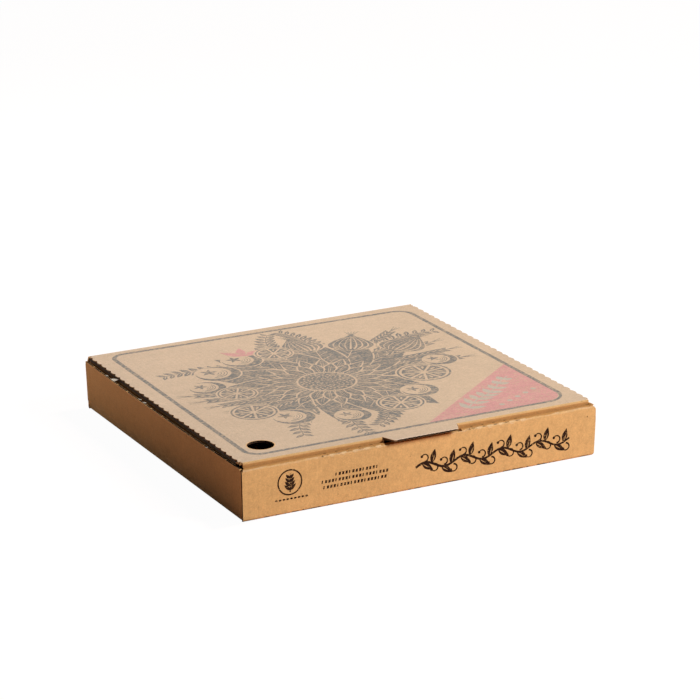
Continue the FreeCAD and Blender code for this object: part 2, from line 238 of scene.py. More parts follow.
def paper_flecks(graph, place):
    """1 on the few dark specks in the liner, 0 elsewhere."""
    cells = graph.node("TexVoronoi", {"Vector": place, "Scale": 0.09})
    near = graph.ramp(cells.outputs["Distance"], 0.03, 0.05, 1.0, 0.0)
    draw = graph.node("SeparateColor", {0: cells.outputs["Color"]}).outputs[0]
    return graph.math("MULTIPLY", near, graph.math("GREATER_THAN", draw, 0.72))


def paper_height(graph, place):
    """Relief of the liner: grain, and the faint ribs of the flutes under it."""
    across = graph.node("SeparateXYZ", {0: place}).outputs[0]
    ribs = graph.math("SINE", graph.math("MULTIPLY", across, 2 * math.pi / FLUTE))
    grain = graph.noise(place, 1.6, 3.0)
    return graph.math("ADD", grain, graph.math("MULTIPLY", ribs, 0.12))


def board_tone(graph, place, colour):
    tone = graph.shade(colour, paper_shade(graph, place))
    return graph.mix(graph.math("MULTIPLY", paper_flecks(graph, place), 0.6), tone, DARK_INK)


def board_roughness(graph, place):
    return graph.ramp(graph.noise(place, 0.4), 0.3, 0.7, 0.62, 0.78)


class Board(Graph):
    """Corrugated board: a graph with each point's place and the way its surface faces."""

    def __init__(self, name):
        super().__init__(bpy.data.materials.new(name))
        self.at = self.place()
        self.x, self.y, self.z = self.node("SeparateXYZ", {0: self.at}).outputs[:3]
        self.aside = self.math("ABSOLUTE", self.x)
        normal = self.node("TexCoord").outputs["Normal"]
        across, _, self.upward = self.node("SeparateXYZ", {0: normal}).outputs[:3]
        self.sideways = self.math("ABSOLUTE", across)
        self.fibres = self.ramp(self.noise(self.at, 1.2, 3.0), 0.35, 0.65)

    def paint(self, tone, colour, share, amount=1.0):
        """The tone with a colour laid over it by that share."""
        return self.mix(self.math("MULTIPLY", share, amount), tone, colour)

    def finished(self, tone, gloss=0.06):
        """The material: the tone with the liner's clouds and specks, its roughness and its relief."""
        tone = board_tone(self, self.at, tone)
        return self.finish(tone, board_roughness(self, self.at), paper_height(self, self.at), 0.12, gloss)


def roll_band_shade(graph, wander):
    """Painted shade on the top of the rolled wall."""
    return graph.all_of(
        graph.within(graph.math("ADD", graph.y, wander), FRONT + 0.9, ROLL_REAR + 5.0, 0.5),
        graph.within(graph.z, FRONT_HEIGHT - 1.0, FRONT_HEIGHT + 1.0, 0.3),
        graph.ramp(graph.upward, 0.3, 0.7),
    )


def roll_ridge_highlight(graph, wander):
    """A painted highlight in pale streaks along the rolled wall's front crease."""
    streaks = graph.noise(graph.stretch(graph.at, (0.12, 1.0, 1.0)), 1.0, 3.0)
    return graph.all_of(
        graph.within(graph.math("ADD", graph.z, wander), FRONT_HEIGHT - 1.6, FRONT_HEIGHT - 0.5, 0.5),
        graph.within(graph.y, FRONT - 1.0, FRONT + 1.2, 0.3),
        graph.ramp(streaks, 0.42, 0.6),
    )


def foot_wear(graph):
    """Cracked liner in patches along the bottom folds in front and behind."""
    return graph.all_of(
        graph.within(graph.z, -1.0, 1.1, 0.7),
        graph.ramp(graph.math("ABSOLUTE", graph.y), BACK - BOARD, BACK - BOARD + 0.6),
        graph.ramp(graph.noise(graph.at, 0.16, 4.0), 0.50, 0.57),
    )


def front_ends_and_gap_shade(graph):
    """The front wall's raw ends, what faces sideways near its outer face, with painted shade of the gap
    beside them.
    """
    return graph.all_of(
        graph.ramp(graph.sideways, 0.6, 0.8),
        graph.ramp(graph.aside, SIDE - 6.0, SIDE - 5.5),
        graph.ramp(graph.y, FRONT + 2.5, FRONT + 3.0, 1.0, 0.0),
    )


def side_rim_highlights(graph):
    """A painted highlight on the outer part of the side walls' top edges."""
    return graph.all_of(
        graph.ramp(graph.aside, SIDE - 1.6, SIDE - 1.5),
        graph.ramp(graph.z, SIDE_HEIGHT - 0.5, SIDE_HEIGHT - 0.4),
        graph.ramp(graph.upward, 0.7, 0.9),
    )


def tray_board():
    """Kraft board with painted shade, painted highlights and cracks along the foot."""
    graph = Board("tray_board")
    wander = graph.ramp(graph.noise(graph.at, 0.09, 3.0), 0.3, 0.7, -0.5, 0.5)
    # painted shade on the rolled wall's top band
    tone = graph.mix(roll_band_shade(graph, wander), KRAFT, SHADED_BAND_KRAFT)
    # painted highlight along the roll's front crease
    tone = graph.paint(tone, SHEEN_KRAFT, roll_ridge_highlight(graph, wander), 0.45)
    tone = graph.paint(tone, HOLLOW_SHADE, foot_wear(graph), 0.85)
    torn = graph.mix(graph.fibres, HOLLOW_SHADE, RAW_AND_SHADE)
    # raw ends of the front wall, darkened further as painted shade of the gap beside them
    tone = graph.paint(tone, torn, front_ends_and_gap_shade(graph), 0.9)
    # painted highlight on the side walls' top edges
    tone = graph.paint(tone, HIGHLIGHT_ORANGE, side_rim_highlights(graph), 0.6)
    return graph.finished(tone)


CREASE_START = -150.0       # the cut side creases of the lid begin here


def side_creases(graph, tone, upright, torn, wander):
    """The lid's cut side creases: bare cut faces, torn liner darkening into painted shade below them."""
    sunk = graph.all_of(
        graph.ramp(graph.z, LID_TOP - 0.5, LID_TOP - 0.3, 1.0, 0.0),
        graph.ramp(graph.upward, 0.4, 0.6),
    )
    in_cut = graph.all_of(
        graph.within(graph.aside, LID_HALF - 3.6, LID_HALF - 0.45, 0.05),
        graph.ramp(graph.z, LID_TOP - 2.4, LID_TOP - 2.2),
        graph.ramp(graph.y, TAB_ROOT + 0.2, TAB_ROOT + 0.3),
        graph.math("MAXIMUM", upright, sunk),
    )
    tone = graph.paint(tone, graph.mix(graph.fibres, RAW_AND_SHADE, CUT_FACE), in_cut)
    on_flap = graph.all_of(
        graph.ramp(graph.aside, LID_HALF - 0.5, LID_HALF - 0.3),
        graph.ramp(graph.y, CREASE_START, CREASE_START + 1.0),
    )
    foot, head = LID_TOP - 4.4, LID_TOP - 3.2
    level = graph.math("ADD", graph.z, wander)
    # the cut crease: raw torn board that darkens toward its foot as painted shade
    perforated_and_shaded = graph.all_of(
        on_flap,
        graph.ramp(graph.z, foot, head),
        graph.ramp(level, LID_TOP - 0.8, LID_TOP - 0.5, 1.0, 0.0),
    )
    tone = graph.paint(tone, torn, perforated_and_shaded, 0.97)
    # painted shade on the flap's outer face below the crease
    painted_flap_shade = graph.all_of(
        on_flap,
        graph.ramp(graph.z, LID_TOP - 10.0, LID_TOP - 4.6),
        graph.ramp(graph.z, foot, head, 1.0, 0.0),
    )
    return graph.paint(tone, RAW_AND_SHADE, painted_flap_shade, 0.85)


def front_edge(graph, tone, upright, torn, wander):
    """The lid's front: raw edges round the tab, a painted highlight at its tip, painted shade on the fold
    beside it.
    """
    in_front = graph.ramp(graph.y, TAB_ROOT - 0.6, TAB_ROOT - 0.4, 1.0, 0.0)
    tab_side = (TAB_ROOT_HALF + 0.3, TAB_ROOT_HALF + 0.5)
    # raw edges round the tab, in the raw tone that darkens downward as painted shade
    at_tab = graph.all_of(
        in_front,
        graph.ramp(graph.aside, *tab_side, 1.0, 0.0),
        upright,
        graph.ramp(graph.z, LID_TOP - 0.4, LID_TOP - 0.25, 1.0, 0.0),
        graph.ramp(graph.z, LID_TOP - 2.0, LID_TOP - 1.9),
    )
    tone = graph.paint(tone, torn, at_tab, 0.9)
    # painted highlight along the top of the tab's tip
    tip = graph.all_of(
        graph.ramp(graph.y, TAB_TIP + 0.5, TAB_TIP + 0.7, 1.0, 0.0),
        graph.ramp(graph.z, LID_TOP - 0.4, LID_TOP - 0.3),
    )
    tone = graph.paint(tone, TORN_AND_HIGHLIGHT, tip, 0.6)
    off_tab = graph.all_of(in_front, graph.ramp(graph.aside, *tab_side))
    level = graph.math("ADD", graph.z, wander)
    # painted shade on the lower part of the fold beside the tab, edged above by a wavy dark line
    line = graph.within(level, LID_TOP - 0.95, LID_TOP - 0.75, 0.2)
    below = graph.ramp(graph.z, LID_TOP - 1.6, LID_TOP - 1.2, 1.0, 0.0)
    tone = graph.paint(tone, SHADED_BAND_KRAFT, graph.all_of(off_tab, line), 0.6)
    return graph.paint(tone, SHADED_BAND_KRAFT, graph.all_of(off_tab, below), 0.9)


def vent_rim(graph, tone, upright, torn, face):
    """The vent's raw wall, darkening downward as painted shade, and a painted highlight round its rim."""
    middle = (VENT_X, VENT_Y, LID_TOP)
    away = graph.node("VectorMath", {0: graph.at, 1: middle}, operation="DISTANCE").outputs["Value"]
    # the vent's raw wall, in the raw tone that darkens downward as painted shade
    wall = graph.all_of(graph.ramp(away, VENT_RADIUS + 2.0, VENT_RADIUS + 2.1, 1.0, 0.0), upright)
    tone = graph.paint(tone, torn, wall)
    # painted highlight round the vent's rim
    ring = graph.all_of(
        graph.ramp(away, VENT_RADIUS + 0.5, VENT_RADIUS + 1.2, 1.0, 0.0),
        face,
        graph.ramp(graph.fibres, 0.0, 1.0, 0.5, 1.0),
    )
    return graph.paint(tone, HIGHLIGHT_ORANGE, ring)


def lid_board():
    """The same board, its printed face painted paler as a sheen. Folds and inside stay plain kraft."""
    graph = Board("lid_board")
    wander = graph.ramp(graph.noise(graph.at, 0.2, 3.0), 0.3, 0.7, -0.04, 0.04)
    upright = graph.ramp(graph.math("ABSOLUTE", graph.upward), 0.5, 0.7, 1.0, 0.0)
    # painted sheen: the upward-facing printed face is made paler
    face = graph.all_of(
        graph.ramp(graph.math("ADD", graph.upward, wander), 0.80, 0.97),
        graph.ramp(graph.z, LID_TOP - 0.25, LID_TOP - 0.1),
    )
    # painted shade: raw edges go from raw brown at the top to near-black toward their foot
    less_shade_upward = graph.ramp(graph.z, LID_TOP - 2.2, LID_TOP - 0.8, 0.05, 1.0)
    torn = graph.mix(graph.math("MULTIPLY", graph.fibres, less_shade_upward), HOLLOW_SHADE, RAW_AND_SHADE)
    tone = graph.mix(face, KRAFT, SHEEN_KRAFT)
    tone = side_creases(graph, tone, upright, torn, wander)
    tone = front_edge(graph, tone, upright, torn, wander)
    tone = vent_rim(graph, tone, upright, torn, face)
    return graph.finished(tone, 0.2)


def plain_board(name, colour):
    """Bare board or liner of one colour."""
    return Board(name).finished(colour)


def hollow():
    """Painted shade: the near-black inside of open flutes, cuts and cracks, with torn fibres in it."""
    graph = Graph(bpy.data.materials.new("hollow"))
    place = graph.place()
    fibres = graph.ramp(graph.noise(place, 1.4, 3.0), 0.35, 0.7, 0.4, 2.6)
    return graph.finish(graph.shade(HOLLOW_SHADE, fibres), 0.95, graph.noise(place, 2.0), 0.1, 0.05)


def ink(name, colour, under, cover, streaks=0.0):
    """Thin ink: the kraft shows through in specks, more where cover is low, and in streaks."""
    graph = Graph(bpy.data.materials.new(name))
    place = graph.place()
    shade = paper_shade(graph, place)
    specks = graph.noise(graph.stretch(place, (0.8, 1.4, 1.0)), 0.55, 4.0)
    clouds = graph.noise(place, 0.05, 3.0)
    lines = graph.noise(graph.stretch(place, (0.12, 1.0, 1.0)), 0.42, 2.0)
    bare = graph.math("ADD", specks, graph.ramp(clouds, 0.3, 0.7, -0.05, 0.05))
    bare = graph.math("ADD", bare, graph.ramp(lines, 0.3, 0.7, -streaks, streaks))
    share = graph.ramp(bare, cover - 0.12, cover + 0.12, 1.0, 0.25)
    tone = graph.mix(share, graph.shade(under, shade), graph.shade(colour, shade))
    return graph.finish(tone, graph.ramp(specks, 0.3, 0.7, 0.6, 0.75), paper_height(graph, place), 0.12)


# Printed shapes, each a list of points on the board's face

def toward(x, y, angle, reach):
    """The point that far from x, y in that direction."""
    return (x + reach * math.cos(angle), y + reach * math.sin(angle))


def disc(x, y, radius, count=36):
    return [toward(x, y, 2 * math.pi * i / count, radius) for i in range(count)]


def placed(points, x, y, angle):
    c, s = math.cos(angle), math.sin(angle)
    return [(x + u * c - v * s, y + u * s + v * c) for u, v in points]


def leaf(x, y, angle, length, width, belly=0.42, count=9):
    """A pointed leaf from its stalk at x, y."""
    upper = []
    for i in range(1, count):
        t = i / count
        swell = math.sin(math.pi * t ** (math.log(0.5) / math.log(belly)))
        upper.append((length * t, width / 2 * swell))
    lower = [(u, -v) for u, v in reversed(upper)]
    return placed([(0.0, 0.0), *lower[::-1], (length, 0.0), *upper[::-1]], x, y, angle)


def stroke(line, start_width, end_width=None):
    """A band along a line of points, its width going from the first to the second."""
    end_width = start_width if end_width is None else end_width
    left, right = [], []
    for i, point in enumerate(line):
        before = Vector(line[max(i - 1, 0)])
        after = Vector(line[min(i + 1, len(line) - 1)])
        along = (after - before).normalized()
        half = (start_width + (end_width - start_width) * i / (len(line) - 1)) / 2
        left.append((point[0] - along.y * half, point[1] + along.x * half))
        right.append((point[0] + along.y * half, point[1] - along.x * half))
    return right + left[::-1]


def arc(x, y, radius, start, end, count=16):
    return [toward(x, y, start + (end - start) * i / count, radius) for i in range(count + 1)]


def rounded_box(x0, y0, x1, y1, radii):
    """A box whose corners have those radii: front right, back right, back left, front left."""
    quarter = math.pi / 2
    a, b, c, d = radii
    corners = [(x1 - a, y0 + a, a, 3), (x1 - b, y1 - b, b, 0)]
    corners += [(x0 + c, y1 - c, c, 1), (x0 + d, y0 + d, d, 2)]
    points = []
    for x, y, radius, k in corners:
        points += arc(x, y, radius, k * quarter, (k + 1) * quarter, 10)
    return points


def new_piece(name, mesh, material, body):
    """A new piece of that mesh, tied to that body if one is given."""
    data = bpy.data.meshes.new(name)
    mesh.to_mesh(data)
    mesh.free()
    data.materials.append(material)
    piece = bpy.data.objects.new(name, data)
    bpy.context.scene.collection.objects.link(piece)
    if body:
        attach(piece, body)
    return piece


def printed(name, shapes, inks, to_frame, body):
    """One thin piece for each ink. A later shape covers an earlier one, and 'bare' leaves the board."""
    kinds, points, outlines = [], [], []
    for kind, outline in shapes:
        turn = sum(a[0] * b[1] - b[0] * a[1] for a, b in zip(outline, outline[1:] + outline[:1]))
        kinds.append(kind)
        outlines.append(list(range(len(points), len(points) + len(outline))))
        points += outline if turn > 0 else outline[::-1]
    found = delaunay_2d_cdt([Vector(p) for p in points], [], outlines, 1, 1e-4, True)
    for colour, material in inks.items():
        owned = [f for f, over in zip(found[2], found[5]) if over and kinds[max(over)] == colour]
        thin_piece(f"{name}_{colour}", found[0], owned, to_frame, material, body)


def thin_piece(name, points, triangles, to_frame, material, body):
    """Closed slab over the triangles, from the board's face to the ink's thickness above it."""
    mesh = bmesh.new()
    made = {}

    def corner(index, rise):
        if (index, rise) not in made:
            made[index, rise] = mesh.verts.new(to_frame(points[index], rise) * MM)
        return made[index, rise]

    edges = {(t[i], t[i - 2]) for t in triangles for i in range(3)}
    for triangle in triangles:
        mesh.faces.new([corner(i, INK_THICKNESS) for i in triangle])
        mesh.faces.new([corner(i, 0.0) for i in reversed(triangle)])
    for a, b in sorted(edges):
        if (b, a) not in edges:
            upper = [corner(b, INK_THICKNESS), corner(a, INK_THICKNESS)]
            mesh.faces.new([*upper, corner(a, 0.0), corner(b, 0.0)])
    new_piece(name, mesh, material, body)


# The lid's print

FRAME_LEFT, FRAME_RIGHT = -148.6, 149.7
FRAME_BACK, FRAME_FRONT = 155.5, -146.4
SKEW_ASIDE = 2.3            # how far the frame's back left corner stands in to the right
SKEW_FORWARD = 4.4          # and its back right corner to the front
FRAME_LINE = 3.9
FRAME_RADII_OUTSIDE = (23.0, 16.5, 15.5, 15.5)
FRAME_RADII_INSIDE = (16.0, 12.5, 11.5, 11.5)
PINK_START = 16.0           # where the pink corner begins along the frame's front line
PINK_END = -36.6            # and where it ends along the right line


def frame_line():
    half = FRAME_LINE / 2
    left, right, front, back = FRAME_LEFT, FRAME_RIGHT, FRAME_FRONT, FRAME_BACK
    yield "grey", rounded_box(left - half, front - half, right + half, back + half, FRAME_RADII_OUTSIDE)
    yield "bare", rounded_box(left + half, front + half, right - half, back - half, FRAME_RADII_INSIDE)


def pink_corner():
    """A field of colour in the front right corner, with a few plain leaves left pale in it."""
    right, front = FRAME_RIGHT - FRAME_LINE / 2, FRAME_FRONT + FRAME_LINE / 2
    radius = FRAME_RADII_INSIDE[0] + 2.0
    corner = arc(right - radius, front + radius, radius, -math.pi / 2, 0.0, 8)
    yield "pink", [(PINK_START, front), *corner, (right, PINK_END)]
    slope = math.atan2(PINK_END - front, right - PINK_START)
    stem = [(62.0 + 9.0 * i, -128.0 + 7.4 * i + 2.2 * math.sin(i * 1.1)) for i in range(9)]
    yield "pale", stroke(stem, 1.8, 1.0)
    for i, spot in enumerate(stem[:-1]):
        for side in SIDES:
            yield "pale", leaf(*spot, slope + side * 0.85, 17.0 - i, 6.5)
    for i in range(5):
        yield "pale", disc(92.0 + 11.0 * i, -133.0 + 6.0 * i, 2.6, 14)


def grain_ear(x, y, angle, length):
    """A stalk with pairs of grains up its outer half, and a beard at its tip."""
    tip = toward(x, y, angle, length)
    yield "grey", stroke([(x, y), tip], 1.7, 1.0)
    for i in range(8):
        t = 0.42 + 0.068 * i
        spot = (x + (tip[0] - x) * t, y + (tip[1] - y) * t)
        for side in SIDES:
            turned = angle + side * 0.42
            yield "grey", leaf(*spot, turned, 12.5, 5.4)
            yield "bare", leaf(*spot, turned + side * 0.05, 9.0, 1.3)
    for side in (-1, 0, 1):
        yield "grey", stroke([tip, toward(*tip, angle + side * 0.2, 15.0)], 0.9, 0.4)


def broad_leaf(x, y, angle, length, width):
    """A solid leaf whose midrib and side veins stay bare."""
    yield "bare", leaf(x, y, angle, length + 2.5, width + 3.0, 0.45, 12)
    yield "grey", leaf(x, y, angle, length, width, 0.45, 14)
    yield "bare", stroke([(x, y), toward(x, y, angle, 0.92 * length)], 1.5, 0.5)
    for i in range(1, 7):
        t = 0.12 * i
        spot = toward(x, y, angle, t * length)
        reach = 0.46 * width * math.sin(math.pi * (t + 0.12))
        for side in SIDES:
            yield "bare", stroke([spot, toward(*spot, angle + side * 0.7, reach)], 0.8, 0.4)


def citrus(x, y, radius, pieces=9, turn=0.0):
    """A cut fruit: rind, pith and dark segments with a bright drop in each."""
    yield "bare", disc(x, y, radius + 1.6)
    yield "grey", disc(x, y, radius)
    yield "bare", disc(x, y, radius * 0.92)
    step = 2 * math.pi / pieces
    for i in range(pieces):
        middle = turn + i * step
        rim = arc(x, y, radius * 0.82, middle - 0.41 * step, middle + 0.41 * step, 5)
        yield "grey", [toward(x, y, middle, radius * 0.13), *rim]
        start = toward(x, y, middle, radius * 0.36)
        yield "bare", leaf(*start, middle, radius * 0.36, radius * 0.1, 0.6, 5)


def ball(x, y, radius, turn=0.0):
    """A round fruit, shaded by arcs on one side, with a star of leaves at its stalk."""
    yield "bare", disc(x, y, radius + 1.6)
    yield "grey", disc(x, y, radius)
    yield "bare", disc(x - radius * 0.16, y + radius * 0.16, radius * 0.8)
    for i in range(4):
        away = radius * (0.62 - 0.13 * i)
        shaded = arc(x - radius * 0.16, y + radius * 0.16, away, -1.9 + 0.22 * i, 0.5 - 0.22 * i, 9)
        yield "grey", stroke(shaded, 1.1 - 0.15 * i, 0.5)
    star = (x - radius * 0.3, y + radius * 0.34)
    for i in range(5):
        yield "grey", leaf(*star, turn + i * 2 * math.pi / 5, radius * 0.42, radius * 0.17, 0.4, 5)


def bulb(x, y, angle, size):
    """A bulb with a pointed neck and curved stripes from root to neck."""
    def across(t):
        return 0.5 * math.sin(math.pi * t ** 0.75) * (1.0 - 0.35 * t) + 0.05 * t

    def line(share):
        return [(size * t / 10, size * share * across(t / 10)) for t in range(11)]

    body = line(1.0) + [(u, -v) for u, v in reversed(line(1.0)[1:])]
    wide = [(u - 0.8, v * 1.12) for u, v in body]
    yield "bare", placed(wide, x, y, angle)
    yield "grey", placed(body, x, y, angle)
    for i in range(-3, 4):
        width = 2.0 if i < 1 else 1.0
        yield "bare", stroke(placed(line(i / 3.9)[1:-1], x, y, angle), width, 0.4)
    for i in range(-2, 3):
        neck = placed([(size * 0.97, 0.0), (size * 1.25, size * 0.07 * i)], x, y, angle)
        yield "grey", stroke(neck, 1.2, 0.4)


def sprig(x, y, angle, length, bend):
    """A curved stem with small leaves on both sides."""
    line, at, heading = [(x, y)], (x, y), angle
    for _ in range(9):
        heading += bend
        at = toward(*at, heading, length / 9)
        line.append(at)
    yield "grey", stroke(line, 1.6, 0.7)
    for i, spot in enumerate(line[1:]):
        size = 17.0 - 0.9 * i
        for side in SIDES:
            turned = angle + bend * (i + 1) + side * 0.9
            yield "grey", leaf(*spot, turned, size, size * 0.42, 0.45, 6)
            yield "bare", leaf(*spot, turned, size * 0.75, size * 0.08, 0.45, 4)


def sunflower(x, y, radius):
    """A large flower: two rings of veined petals round a disc of seeds."""
    count = 21
    yield "bare", disc(x, y, radius * 0.8, 48)
    for ring, (start, length) in enumerate(((0.42, 0.62), (0.36, 0.46))):
        for i in range(count):
            turn = (i + 0.5 * ring) * 2 * math.pi / count
            root = toward(x, y, turn, start * radius)
            yield "bare", leaf(*root, turn, length * radius + 1.5, radius * 0.23, 0.5, 8)
            yield "grey", leaf(*root, turn, length * radius, radius * 0.17, 0.5, 8)
            for side in SIDES:
                vein = [(0.1 * length * radius, side * 0.6), (0.8 * length * radius, side * 1.1)]
                yield "bare", stroke(placed(vein, *root, turn), 0.7, 0.3)
    yield "bare", disc(x, y, radius * 0.43, 48)
    yield "grey", disc(x, y, radius * 0.40, 48)
    for i in range(4, 110):
        turn = i * math.pi * (3 - math.sqrt(5))
        spot = toward(x, y, turn, radius * 0.036 * math.sqrt(i))
        yield "bare", disc(*spot, 0.75 + 0.004 * i, 7)


def leaf_wreath():
    """Broad leaves all round the flower: the way each points, its length and its width."""
    around = (
        (0.15, 118, 46), (0.52, 112, 44), (0.95, 116, 46), (1.35, 112, 44), (1.8, 118, 46),
        (2.2, 124, 46), (2.62, 122, 46), (3.02, 120, 46), (3.45, 122, 46), (3.85, 128, 46),
        (4.3, 122, 46), (4.72, 118, 46), (5.12, 114, 44), (5.5, 84, 38),
    )
    for turn, length, width in around:
        yield from broad_leaf(2.0, 0.0, turn, length, width)


def sprigs():
    """Sprigs between the leaves: root, direction, length and bend of each."""
    yield from sprig(-20.0, -70.0, 4.0, 76.0, 0.09)
    yield from sprig(-46.0, -60.0, 3.6, 76.0, 0.10)
    yield from sprig(10.0, -78.0, 4.6, 60.0, -0.09)
    yield from sprig(70.0, 58.0, 0.9, 76.0, -0.11)
    yield from sprig(-60.0, 60.0, 2.4, 72.0, 0.10)
    yield from sprig(-10.0, 80.0, 1.9, 66.0, -0.10)
    yield from sprig(20.0, 84.0, 1.2, 62.0, 0.09)


def lid_design():
    """A large flower among cut and whole fruit, bulbs, ears of grain, sprigs and leaves."""
    yield from leaf_wreath()
    for i in range(5):
        yield from grain_ear(-30.0 + 5.0 * i, -20.0, 2.80 + 0.17 * i, 104.0 - 3.0 * i)
        yield from grain_ear(30.0, 10.0 + 8.0 * i, -0.10 + 0.19 * i, 96.0)
    yield from sprigs()
    yield from bulb(48.0, 66.0, 1.1, 46.0)
    yield from bulb(80.0, 46.0, 0.6, 48.0)
    yield from bulb(14.0, 78.0, 1.6, 44.0)
    yield from ball(-84.0, 62.0, 20.0)
    yield from ball(-50.0, 86.0, 18.0, 0.4)
    yield from ball(-108.0, 30.0, 16.0, 0.9)
    yield from sunflower(-10.0, -4.0, 62.0)
    yield from citrus(76.0, -22.0, 24.0, 9, 0.5)
    yield from ball(106.0, 4.0, 15.0, 0.2)
    yield from ball(50.0, -64.0, 16.0, 1.0)
    yield from citrus(20.0, -86.0, 20.0, 8, 0.3)
    yield from ball(-76.0, -76.0, 18.0, 0.6)
    yield from citrus(-100.0, -48.0, 20.0, 8, 0.1)
    for turn in (0.4, 1.3, 2.2):
        yield "bare", leaf(-44.0, 98.0, turn, 26.0, 11.5)
        yield "pink", leaf(-44.0, 98.0, turn, 24.0, 9.0)
    yield from citrus(-92.0, 4.0, 17.0, 8, 0.7)
    yield from ball(-30.0, -96.0, 15.0, 0.3)
    yield from citrus(-16.0, 92.0, 17.0, 8, 0.4)


def on_lid(point, rise):
    """A point of the print on the lid; the print stands a little askew."""
    x, y = point
    aside = (x - FRAME_LEFT) / (FRAME_RIGHT - FRAME_LEFT)
    back = (y - FRAME_FRONT) / (FRAME_BACK - FRAME_FRONT)
    x += SKEW_ASIDE * back * (1 - aside)
    y -= SKEW_FORWARD * back * aside
    return Vector((x, y, LID_TOP + rise))


def lid_print(inks):
    vent = ("bare", disc(VENT_X, VENT_Y, VENT_RADIUS + 0.6, 48))
    printed("lid_print", [*frame_line(), *lid_design(), *pink_corner(), vent], inks, on_lid, "lid")


# The front wall's print

MARK_X = -122.8             # middle of the round mark
MARK_Z = 27.0
SMALL_BAR = 1.3             # half the height of the short bars
SPECK = (156.6, 35.7)       # a dark speck on the board


def front_mark():
    """A round mark with a sprig in it, over a row of dashes."""
    yield "dark", disc(MARK_X, MARK_Z, 11.2, 40)
    yield "bare", disc(MARK_X, MARK_Z, 9.9, 40)
    yield "dark", stroke([(MARK_X, 18.4), (MARK_X + 0.4, 34.5)], 1.1, 0.6)
    for i in range(4):
        for side in SIDES:
            turned = math.pi / 2 - side * 0.8
            yield "dark", leaf(MARK_X + 0.1, 20.2 + 3.4 * i, turned, 7.4 - 0.8 * i, 2.7)
    for i in range(9):
        yield "dark", leaf(-136.6 + 3.4 * i, 12.9, 0.0, 2.8, 1.7)


def small_rows():
    """Three rows of short slanting bars."""
    for row, (start, count) in enumerate(((-82.0, 13), (-94.5, 20), (-93.0, 19))):
        for i in range(count):
            x, z = start + 3.1 * i, 26.6 - 4.9 * row
            wide = 1.9 if i % 4 else 1.1
            low, high = z - SMALL_BAR, z + SMALL_BAR
            yield "dark", [(x, low), (x + wide, low), (x + wide + 0.4, high), (x + 0.4, high)]


def vine():
    """A slanting vine with curled leaves, in the dark ink."""
    line = [(-8.0 + 3.0 * i, 19.0 + 3.2 * math.sin(i * 0.52)) for i in range(50)]
    yield "dark", stroke(line, 2.2, 1.6)
    for i in range(2, 48, 3):
        x, z = line[i]
        side = 1 if (i // 3) % 2 else -1
        turned = 0.35 + side * 0.95
        yield "dark", leaf(x, z, turned, 12.5, 5.4)
        yield "bare", leaf(x + 1.2, z + side * 1.2, turned, 6.0, 0.6)
        curl = arc(x + 2.6, z - side * 4.2, 3.2, side * 1.6, side * -2.6, 12)
        yield "dark", stroke(curl, 1.6, 0.9)
        yield "dark", disc(*curl[-1], 1.3, 10)


def on_front(point, rise):
    """A point of the print on the front wall, given by its X and Z."""
    return Vector((point[0], FRONT - rise, point[1]))


def front_print(inks):
    speck = ("dark", disc(*SPECK, 0.6, 8))
    printed("front_print", [*front_mark(), *small_rows(), *vine(), speck], inks, on_front, "tray")


# Raw edges of the board, its torn bits, and the hinge fold

LINER = 0.22                # what shows of each liner on a raw edge
SHEET_HALF = 0.14           # half of what shows of the wavy middle sheet
RAGGED = 0.12               # how far a hollow's outline wanders
GAP = 0.6                   # closed start and end of an edge


def solid(name, outlines, thickness, to_frame, material, body):
    """Closed slabs with those outlines: their lower faces lie on the surface, their upper ones above."""
    mesh = bmesh.new()
    for outline in outlines:
        low = [mesh.verts.new(to_frame(point, 0.0) * MM) for point in outline]
        high = [mesh.verts.new(to_frame(point, thickness) * MM) for point in outline]
        mesh.faces.new(low[::-1])
        mesh.faces.new(high)
        for i in range(len(outline)):
            j = (i + 1) % len(outline)
            mesh.faces.new([low[i], low[j], high[j], high[i]])
    bmesh.ops.recalc_face_normals(mesh, faces=mesh.faces)
    new_piece(name, mesh, material, body)


def flute_ends(length):
    """Hollows over and under the wavy middle sheet, where the flutes end in an edge."""
    low, high = LINER, BOARD - LINER
    for i in range(int(length / FLUTE)):
        start = i * FLUTE
        steps = [(start + FLUTE * k / 8, (1 - math.cos(math.pi * k / 4)) / 2) for k in range(1, 8)]
        under = [(u, low + (high - low) * share - SHEET_HALF) for u, share in steps]
        yield "dark", [*under, (under[-1][0], low), (under[0][0], low)]
        over = [(u + FLUTE / 2, low + (high - low) * (1 - share) + SHEET_HALF) for u, share in steps]
        yield "dark", [*over[::-1], (over[0][0], high), (over[-1][0], high)]


def flute_side(length, seed, liner=LINER):
    """A long hollow between the liners, where an edge runs along the flutes. It closes in places."""
    draw = random.Random(seed)
    at = GAP
    while at < length - 2.0:
        run = min(draw.uniform(6.0, 26.0), length - GAP - at)
        low = liner + draw.uniform(0.0, RAGGED)
        high = BOARD - liner - draw.uniform(0.0, RAGGED)
        bend = draw.uniform(-RAGGED, RAGGED)
        lower = [(at, low), (at + run / 2, low + bend), (at + run, low)]
        upper = [(at + run, high), (at + run / 2, high + bend), (at, high)]
        yield "dark", lower + upper
        at += run + draw.uniform(0.4, 1.6)


def raw_edge(name, shapes, start, along, across, out, body, inks):
    """Hollows on a straight raw edge: start is a corner of it, across goes from liner to liner."""
    start, along, across, out = (Vector(v) for v in (start, along, across, out))
    along.normalize()

    def place(p, rise):
        return start + along * p[0] + across * p[1] + out * rise

    printed(name, shapes, inks, place, body)


def tab_tip(inks):
    start = (-TAB_HALF, TAB_TIP, LID_TOP - BOARD)
    raw_edge("tab_tip", flute_ends(2 * TAB_HALF), start, (1, 0, 0), (0, 0, 1), (0, -1, 0), "lid", inks)


